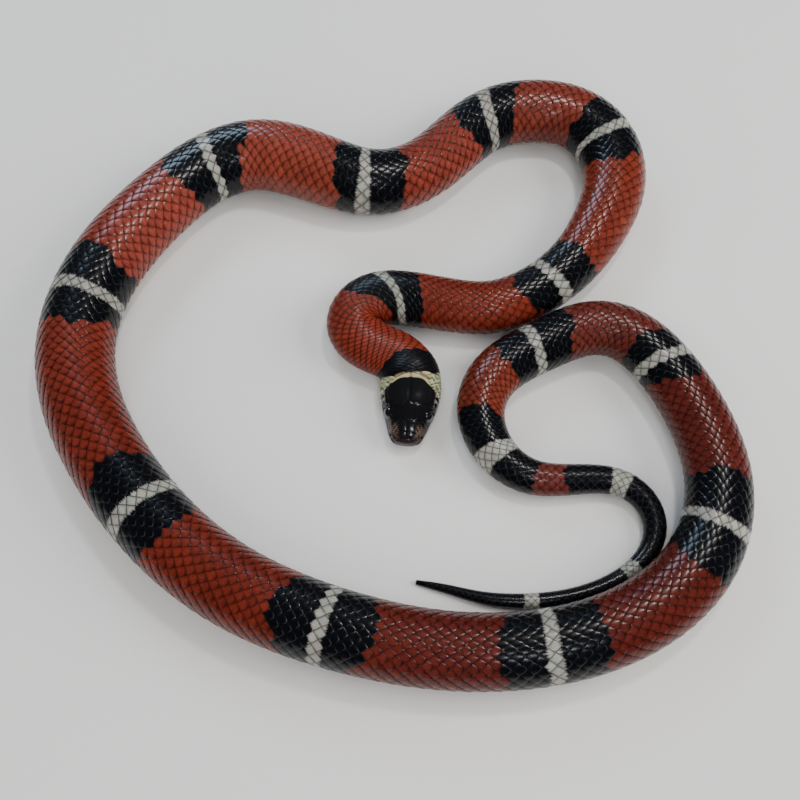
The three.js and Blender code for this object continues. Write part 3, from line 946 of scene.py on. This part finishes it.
# The mesh of the head, up to the place where the body's coarser rings join it.
HEAD_JOIN = 26.0
HEAD_ROWS = HEAD_JOIN * np.linspace(0, 1, 190) ** 1.25
OVER_HEAD, UNDER_JAW, UNDER_BELLY = 67, 29, 18
HEAD_COUNTS = np.r_[
    np.linspace(RING_TOP, LIP_HIGH, OVER_HEAD), LIP_IN, np.linspace(LIP_LOW, 0, UNDER_JAW),
]
LIP_EDGE = 1.001
THINNED = 4
BODY_STEPS = (0.8, 2.2)
STEP_SHARE = 0.08
OFF_FLOOR = 0.03
STRIPS = 6


def in_rings(right, left, belly):
    """Values for both flanks, each from the top down, and for the belly, joined into closed rings."""
    return np.hstack([right[:, ::-1], left[:, 1:], np.broadcast_to(belly, (len(right), UNDER_BELLY))])


def head_base():
    """The head's surface as rings up the right flank, down the left and across the belly.

    With it go each point's place and flank, and the shares of its way from the top to the lip and
    to the belly's edge.
    """
    place, count = np.meshgrid(HEAD_ROWS, HEAD_COUNTS, indexing="ij")
    side, height, to_lip, to_edge = {}, {}, {}, {}
    for right in (1, -1):
        side[right], height[right] = outline(place, count, right)
        steps = np.hypot(np.diff(side[right]), np.diff(height[right]))
        run = np.hstack([np.zeros((len(place), 1)), np.cumsum(steps, 1)])
        to_lip[right] = run / np.maximum(run[:, OVER_HEAD - 1 : OVER_HEAD], 1e-6)
        to_edge[right] = run / np.maximum(run[:, -1:], 1e-6)
    right_edge, left_edge = side[1][:, -1:], -side[-1][:, -1:]
    across = np.linspace(0, 1, UNDER_BELLY + 2)[1:-1]
    side = in_rings(side[1], -side[-1], left_edge + (right_edge - left_edge) * across)
    height = in_rings(height[1], height[-1], height[-1][:, -1:])
    flank = in_rings(np.ones(place.shape), -np.ones(place.shape), 0)
    place = np.repeat(HEAD_ROWS[:, None], side.shape[1], 1)
    base = aside(place, side, height)
    return base, place, flank, in_rings(to_lip[1], to_lip[-1], 2), in_rings(to_edge[1], to_edge[-1], 1)


def on_head(thing, right, out=0.0):
    """The middle of an eye or a nostril in the side of the head, or farther out."""
    side = head_side(thing["place"], thing["height"]) + out
    return aside(thing["place"], right * side, thing["height"])


def head_relief(base, place, to_lip, number, distance):
    """How far plates and seams stand over the base, and which points lie in the orbits and nostrils."""
    relief = PLATE_RISE * smoothstep(distance, 0, 1.3) - GROOVE * bell(distance, GROOVE_WIDTH)
    relief[number < 0] = -BARE_DEPTH
    # The lower jaw has lip plates along its edge.
    off_seam = JAW_PLATE / 2 - np.abs((place / JAW_PLATE) % 1 - 0.5) * JAW_PLATE
    lip_seam = bell(off_seam, 0.14) * (to_lip - 1 < 0.35)
    relief = np.where(to_lip <= LIP_EDGE, relief, -JAW_DEPTH - GROOVE * lip_seam)
    orbit, pit = np.zeros(place.shape), np.zeros(place.shape)
    for right in (1, -1):
        off = np.linalg.norm(base - on_head(EYE, right), axis=-1)
        relief = np.where(off < 2.6, relief * smoothstep(off, 1.9, 2.5), relief)
        relief -= ORBIT_DEPTH * (1 - smoothstep(off, 1.0, 1.72))
        relief += 0.05 * bell(off - 1.95, 0.22) - 0.07 * bell(off - 2.35, 0.16)
        orbit = np.maximum(orbit, 1 - smoothstep(off, 1.6, 2.2))
        off = np.linalg.norm((base - on_head(NOSTRIL, right)) * (1, 0.8, 1.1), axis=-1)
        relief -= NOSTRIL_DEPTH * bell(off, 0.42)
        pit = np.maximum(pit, bell(off, 0.5))
    return relief, orbit, pit


def head_skin():
    """The head's points and colours in rings, dense enough to carry its plates."""
    base, place, flank, to_lip, to_edge = head_base()
    around = np.roll(base, -1, 1) - np.roll(base, 1, 1)
    normal = unit(np.cross(around, np.gradient(base, axis=0)))
    normal[0] = (0, -1, 0)
    upper = to_lip <= LIP_EDGE
    number, distance = np.full(place.shape, -1), np.full(place.shape, 0.5)
    number[upper], distance[upper] = head_field(place[upper], to_lip[upper], flank[upper])
    relief, orbit, pit = head_relief(base, place, to_lip, number, distance)
    # Behind the plates the skin lies under the scales, and is painted darker there as shade.
    behind = smoothstep(place - cap_end(to_edge), -0.5, 0.7)
    over = np.minimum(relief - BASE_DEPTH, -PLATE_DEPTH) * (0.5 + 0.5 * smoothstep(place, 0, 0.35))
    over = over * (1 - behind) - BEHIND_DEPTH * behind
    points = base + normal * over[..., None]
    points[..., 2] = np.maximum(points[..., 2], OFF_FLOOR)

    tone = head_tone(place, np.minimum(to_lip, 1), flank, number, distance)
    tone = with_collar(tone, place, np.minimum(to_edge, 1) * flank, distance)
    jaw = mixed(JAW_TONE, CHIN_TONE, smoothstep(to_lip, 1.25, 1.6))
    tone = mixed(tone, jaw, smoothstep(to_lip, 1.0, 1.1))
    # Painted shade: darker in the nostrils' pits, in the orbits round the eyes, and on the skin under the
    # scales behind the plates.
    dark = (1 - 0.9 * pit) * (1 - 0.5 * orbit) * (1 - 0.8 * behind)
    return points, tone * dark[..., None]


def body_places():
    """The places of the body's rings, closer together in tight bends."""
    places = [HEAD_JOIN]
    while places[-1] < LENGTH - 0.2:
        radius = 1 / max(abs(float(turn(places[-1]))), 1e-6)
        places.append(places[-1] + float(np.clip(radius * STEP_SHARE, *BODY_STEPS)))
    return np.minimum(np.array(places[1:]), LENGTH)


def ring_girths(ring):
    """The girth of each point of the ring where the head's fine mesh ends."""
    guess = np.linspace(-2, 2, 1601)
    apart = on_skin(HEAD_JOIN, guess) - ring[:, None]
    return guess[np.argmin((apart**2).sum(-1), 1)]


def skin_map(rows, columns, places, kept):
    """The skin's map: the head in the left half, and the body in strips beside it."""
    along, across = np.meshgrid(np.linspace(0, 1, rows), np.linspace(0, 1, columns), indexing="ij")
    head = np.stack([along * 0.48 + 0.01, across * 0.98 + 0.01], -1).reshape(-1, 2)
    share = (places - places[0]) / (places[-1] - places[0]) * STRIPS
    strip = np.minimum(share.astype(int), STRIPS - 1)
    u = 0.51 + (strip + np.linspace(0.03, 0.97, kept)) * 0.08
    v = 0.02 + (share - strip) * 0.95 + np.zeros(kept)
    return np.vstack([head, np.stack([u, v], -1).reshape(-1, 2), (0.01, 0.5), (0.97, 0.98)])


def make_skin():
    """One closed skin: the head in fine rings, and the rest in coarser ones under the scales."""
    head, head_tones = head_skin()
    rows, columns = head.shape[:2]
    keep = np.arange(0, columns, THINNED)
    girth = ring_girths(head[-1])[keep][None]
    places = body_places()[:, None]
    body = raised(places, girth, -SKIN_DEPTH * relief_share(places, girth))
    body[..., 2] = np.maximum(body[..., 2], OFF_FLOOR)
    mark = mark_at(unleaned(places, girth), girth)
    # The skin under the scales is darkened: its own darker tone and painted shade.
    body_tones = tone_of(mark, places + np.zeros(girth.shape)) * BETWEEN_SCALES_DARK_AND_SHADE
    points, tone = (
        np.vstack([front.reshape(-1, 3), rear.reshape(-1, 3), front[0].mean(0), rear[-1].mean(0)])
        for front, rear in ((head, body), (head_tones, body_tones))
    )

    fine_rings = np.arange(rows * columns).reshape(rows, columns)
    coarse_rings = rows * columns + np.arange(len(places) * len(keep)).reshape(len(places), -1)
    faces = faces_of(fine_rings).tolist()
    fine_end, coarse_start = fine_rings[-1].tolist(), coarse_rings[0].tolist()
    fine_end.append(fine_end[0])
    coarse_start.append(coarse_start[0])
    for k, (first, last) in enumerate(zip(keep.tolist(), keep[1:].tolist() + [columns])):
        faces.append(fine_end[first : last + 1] + [coarse_start[k + 1], coarse_start[k]])
    faces += faces_of(coarse_rings).tolist()
    nose, tip = len(points) - 2, len(points) - 1
    front, rear = fine_rings[0], coarse_rings[-1]
    faces += [[nose, b, a] for a, b in zip(front.tolist(), np.roll(front, -1).tolist())]
    faces += [[tip, a, b] for a, b in zip(rear.tolist(), np.roll(rear, -1).tolist())]
    mesh = bpy.data.meshes.new("skin")
    mesh.from_pydata((points * MM).tolist(), [], faces)
    mesh.update()
    return dressed(mesh, "skin", tone, skin_map(rows, columns, places, len(keep)))


# Materials
def node(tree, kind, **values):
    """A new node, with values for its sockets or its own settings."""
    made = tree.nodes.new(kind)
    for key, value in values.items():
        if key in made.inputs:
            made.inputs[key].default_value = value
        else:
            setattr(made, key, value)
    return made


def new_material(name, coat, coat_roughness):
    """A material with one glossy shader."""
    material = bpy.data.materials.new(name)
    material.use_nodes = True
    tree = material.node_tree
    tree.nodes.clear()
    out = node(tree, "ShaderNodeOutputMaterial")
    shader = node(tree, "ShaderNodeBsdfPrincipled")
    shader.inputs["Coat Weight"].default_value = coat
    shader.inputs["Coat Roughness"].default_value = coat_roughness
    tree.links.new(shader.outputs["BSDF"], out.inputs["Surface"])
    return material, tree, shader


def noises(tree, *settings):
    """Noise over the object, one for each (scale, detail, roughness)."""
    coords = node(tree, "ShaderNodeTexCoord")
    made = []
    for scale, detail, roughness in settings:
        noise = node(tree, "ShaderNodeTexNoise", Scale=scale, Detail=detail, Roughness=roughness)
        tree.links.new(coords.outputs["Object"], noise.inputs["Vector"])
        made.append(noise.outputs["Fac"])
    return made


def between(tree, noise, low, high):
    """A noise as a number from low to high."""
    spread = node(tree, "ShaderNodeMapRange")
    spread.inputs["To Min"].default_value = low
    spread.inputs["To Max"].default_value = high
    tree.links.new(noise, spread.inputs["Value"])
    return spread.outputs["Result"]


def coloured(tree, shader, light):
    """The mesh's own colours, times a light, on the shader."""
    tone = node(tree, "ShaderNodeAttribute", attribute_name="tone")
    colour = node(tree, "ShaderNodeVectorMath", operation="SCALE")
    tree.links.new(tone.outputs["Color"], colour.inputs[0])
    tree.links.new(light, colour.inputs["Scale"])
    tree.links.new(colour.outputs["Vector"], shader.inputs["Base Color"])


COAT_ROUGHNESS = 0.14
SPECULAR = 0.22
BUMP_STRENGTH = 0.12
BUMP_DISTANCE = 0.0001


def scale_material(name, roughness, coat, mottle=0.35, grain=900.0):
    """Glossy scales: their own colours, mottled finely, with a faint grain."""
    material, tree, shader = new_material(name, coat, COAT_ROUGHNESS)
    shader.inputs["Specular IOR Level"].default_value = SPECULAR
    fine_noise, wide_noise = noises(tree, (grain, 4.0, 0.6), (70.0, 3.0, 0.5))
    both = node(tree, "ShaderNodeMath", operation="MULTIPLY")
    tree.links.new(between(tree, fine_noise, 1 - mottle, 1 + mottle), both.inputs[0])
    tree.links.new(between(tree, wide_noise, 0.8, 1.2), both.inputs[1])
    coloured(tree, shader, both.outputs["Value"])
    rough = between(tree, fine_noise, roughness - 0.08, roughness + 0.10)
    tree.links.new(rough, shader.inputs["Roughness"])
    bump = node(tree, "ShaderNodeBump", Strength=BUMP_STRENGTH, Distance=BUMP_DISTANCE)
    tree.links.new(fine_noise, bump.inputs["Height"])
    tree.links.new(bump.outputs["Normal"], shader.inputs["Normal"])
    return material


def eye_material():
    """The wet gloss of the eyes."""
    material, tree, shader = new_material("eye_wet", 1.0, 0.02)
    shader.inputs["Roughness"].default_value = 0.05
    (noise,) = noises(tree, (2400.0, 3.0, 0.5))
    coloured(tree, shader, between(tree, noise, 0.6, 1.4))
    return material


EYE_LIFT = 0.12
PUPIL_EDGE = (0.42, 0.47)
IRIS_EDGE = (0.72, 0.85)


def eye_piece(name, right):
    """An eyeball with a round pupil and a dark iris, looking straight out of the head."""
    _, _, dx, dy = route(EYE["place"])
    out = unit(np.array([-dy * right, dx * right, EYE_LIFT]))
    up = unit(np.array([0, 0, 1]) - out * out[2])
    along = np.cross(out, up)
    rings, around = 40, 48
    polar = np.linspace(0.02, math.pi, rings)
    turnings = np.linspace(0, 2 * math.pi, around, endpoint=False)
    p, t = np.meshgrid(polar, turnings, indexing="ij")
    radius = EYE["radius"] + 0.02 * bell(p, 0.5)
    across = np.cos(t)[..., None] * up + np.sin(t)[..., None] * along
    ways = np.cos(p)[..., None] * out + np.sin(p)[..., None] * across
    points = on_head(EYE, right, EYE["out"] - EYE["radius"]) + radius[..., None] * ways
    points[0] = points[0].mean(0)
    iris = IRIS_TONE * (0.8 + 0.3 * np.sin(31 * t) * np.sin(17 * t + 1))[..., None]
    shade = smoothstep(p, *PUPIL_EDGE) * (1 - 0.85 * smoothstep(p, *IRIS_EDGE))
    tone = iris * shade[..., None] + 0.002
    quads = faces_of(np.arange(rings * around).reshape(rings, around))[:, FLIPPED]
    spread = 0.48 * p / math.pi
    uv = 0.5 + np.stack([spread * np.cos(t), spread * np.sin(t)], -1)
    return build_mesh(name, points.reshape(-1, 3), quads, tone.reshape(-1, 3), uv.reshape(-1, 2))


# Camera, floor and lights
def look_at(thing, spot):
    thing.rotation_euler = (Vector(spot) - thing.location).to_track_quat("-Z", "Y").to_euler()


AIM = (0.006, -0.019, 0)
CAMERA_AWAY = 0.3
CAMERA_RISE = math.radians(63.5)
SENSOR = 36
# The focal length over the picture's width, both in the photo's pixels.
FOCAL_SHARE = 866 / 800

camera = put("camera", bpy.data.cameras.new("camera"))
camera.location = (
    AIM[0], AIM[1] - CAMERA_AWAY * math.cos(CAMERA_RISE), CAMERA_AWAY * math.sin(CAMERA_RISE),
)
look_at(camera, AIM)
camera.data.sensor_width = SENSOR
camera.data.lens = FOCAL_SHARE * SENSOR
camera.data.clip_start = 0.01
bpy.context.scene.camera = camera


def light(name, place, size, power, colour):
    """A soft panel that shines on the middle of the floor."""
    lamp = bpy.data.lights.new(name, "AREA")
    lamp.shape = "RECTANGLE"
    lamp.size, lamp.size_y = size
    lamp.energy = power
    lamp.color = colour
    thing = put(name, lamp)
    thing.location = place
    look_at(thing, (0, 0, 0))
    return thing


light("key", (0.20, 0.24, 0.74), (0.09, 0.09), 1.9, (1.0, 0.97, 0.93))
light("front_glint", (0.14, -0.45, 0.85), (0.1, 0.1), 1.2, (0.92, 0.93, 1.0))
light("window", (-0.32, 0.8, 0.6), (0.3, 0.25), 4.0, (0.60, 0.79, 1.0))
# Broad fills, kept out of the gloss: most from the right, less from the left and the front.
for name, place, power in (
    ("overhead", (0, 0.1, 1.1), 3.0), ("right", (0.9, 0, 0.5), 14.0),
    ("left", (-0.9, 0, 0.45), 5.5), ("front", (0.05, -0.9, 0.5), 6.0),
):
    light(name, place, (0.7, 0.7), power, (1.0, 0.98, 0.96)).visible_glossy = False

world = bpy.data.worlds.new("studio")
world.use_nodes = True
sky = world.node_tree.nodes["Background"]
sky.inputs["Color"].default_value = (0.80, 0.84, 0.90, 1)
sky.inputs["Strength"].default_value = 0.1
bpy.context.scene.world = world

FLOOR_HALF = 3
floor_mesh = bpy.data.meshes.new("floor")
corners = [(x * FLOOR_HALF, y * FLOOR_HALF, 0) for x, y in ((-1, -1), (1, -1), (1, 1), (-1, 1))]
floor_mesh.from_pydata(corners, [], [(0, 1, 2, 3)])
floor = put("floor", floor_mesh)
floor_material = bpy.data.materials.new("floor_pale")
floor_material.use_nodes = True
floor_shader = floor_material.node_tree.nodes["Principled BSDF"]
floor_shader.inputs["Base Color"].default_value = (0.64, 0.635, 0.62, 1)
floor_shader.inputs["Roughness"].default_value = 0.8
floor_mesh.materials.append(floor_material)

# The animal
body_gloss = scale_material("scale_gloss", 0.25, 0.09)
neck_gloss = scale_material("neck_gloss", 0.36, 0.03)
belly_gloss = scale_material("belly_gloss", 0.36, 0.1, 0.25, 600.0)
skin_gloss = scale_material("skin_gloss", 0.18, 0.38, 0.3, 1500.0)
wet = eye_material()

# The lengths of the coat: name, start, end and slot.
PIECES = [
    ("scales_neck", 0, 78, "scales_front"), ("scales_1", 78, 140, "scales_front"),
    ("scales_2", 140, 228, "scales_front"), ("scales_3", 228, 322, "scales_front"),
    ("scales_4", 322, 425, "scales_front"), ("scales_5", 425, 530, "scales_middle"),
    ("scales_6", 530, 632, "scales_middle"), ("scales_7", 632, 738, "scales_middle"),
    ("scales_8", 738, 826, "scales_rear"), ("scales_9", 826, 900, "scales_rear"),
    ("scales_tail", 900, LENGTH + 1, "scales_tail"),
]
# The CAD lengths that the one skin stands for.
FLESH = ["head", "neck"] + [f"body_{k}" for k in range(1, 10)] + ["tail_base", "tail_end"]

skin = make_skin()
skin.data.materials.append(skin_gloss)
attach(skin, "root")
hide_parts(*FLESH)

spots = dorsal_scales()
spot_places = place_of(spots[:, 0])
for name, start, end, slot in PIECES:
    chosen = spots[(spot_places >= start) & (spot_places < end)]
    piece = scale_piece(name, chosen, start, min(end, LENGTH))
    piece.data.materials.append(neck_gloss if name == "scales_neck" else body_gloss)
    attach(piece, "root")

throat, middle, vent = (int(count_of(place)) for place in (THROAT, MIDDLE, VENT))
for name, first, last, halves, slot in (
    ("belly_front", throat, middle, False, "scales_front"),
    ("belly_rear", middle, vent, False, "scales_rear"),
    ("tail_underside", vent, int(rounds[-1]) - 1, True, "scales_tail"),
):
    piece = belly_piece(name, first, last, halves)
    piece.data.materials.append(belly_gloss)
    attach(piece, "root")

for name, right, cad in (("eye_ball_right", 1, "eye_right"), ("eye_ball_left", -1, "eye_left")):
    piece = eye_piece(name, right)
    piece.data.materials.append(wet)
    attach(piece, "root")
    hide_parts(cad)
